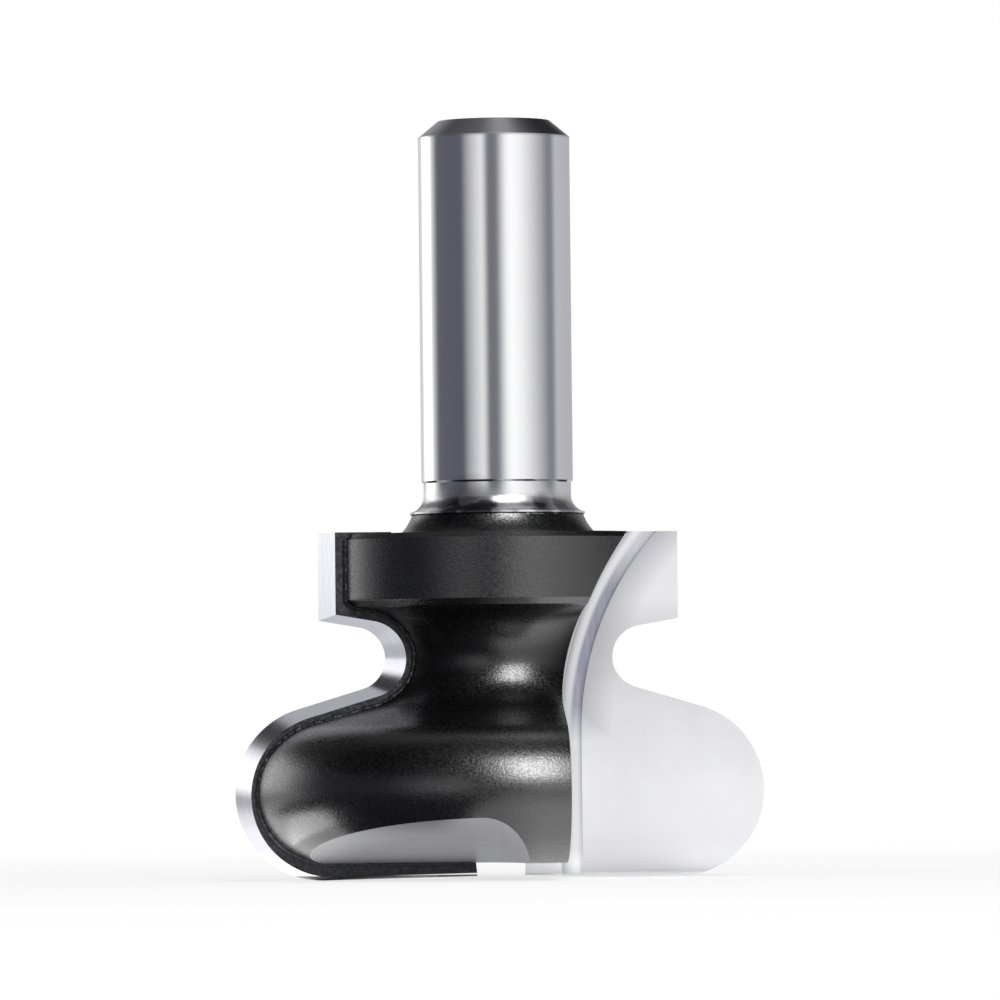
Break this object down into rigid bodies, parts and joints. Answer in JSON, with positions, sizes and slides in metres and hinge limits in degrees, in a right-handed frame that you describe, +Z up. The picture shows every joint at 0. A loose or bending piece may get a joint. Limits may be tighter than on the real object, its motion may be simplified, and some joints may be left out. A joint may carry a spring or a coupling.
{
  "type": "router bit",
  "caption": "Profile router bit: a plain round shank above a flared collar and a black winged head with brazed carbide tips that cut a round nose, a deep hollow and a square step.",
  "frame": {"origin": "centre of the bounding box's bottom, on the turning axis, where the tips' lowest edges touch", "axes": "+Z up the shank, away from the cutting end; +X to the wing whose rake face looks towards -Y"},
  "size_m": [0.0442, 0.0416, 0.0635],
  "materials": {
    "coated_steel": "satin black coating on the head; the shank is bare ground steel",
    "ground_carbide": "fine ground tungsten carbide",
    "silver_braze": "dull silver braze"
  },
  "bodies": {
    "root": {"body": "coated_steel", "carbide_tip_right": "ground_carbide", "carbide_tip_left": "ground_carbide", "braze_right": "silver_braze", "braze_left": "silver_braze"}
  },
  "joints": []
}
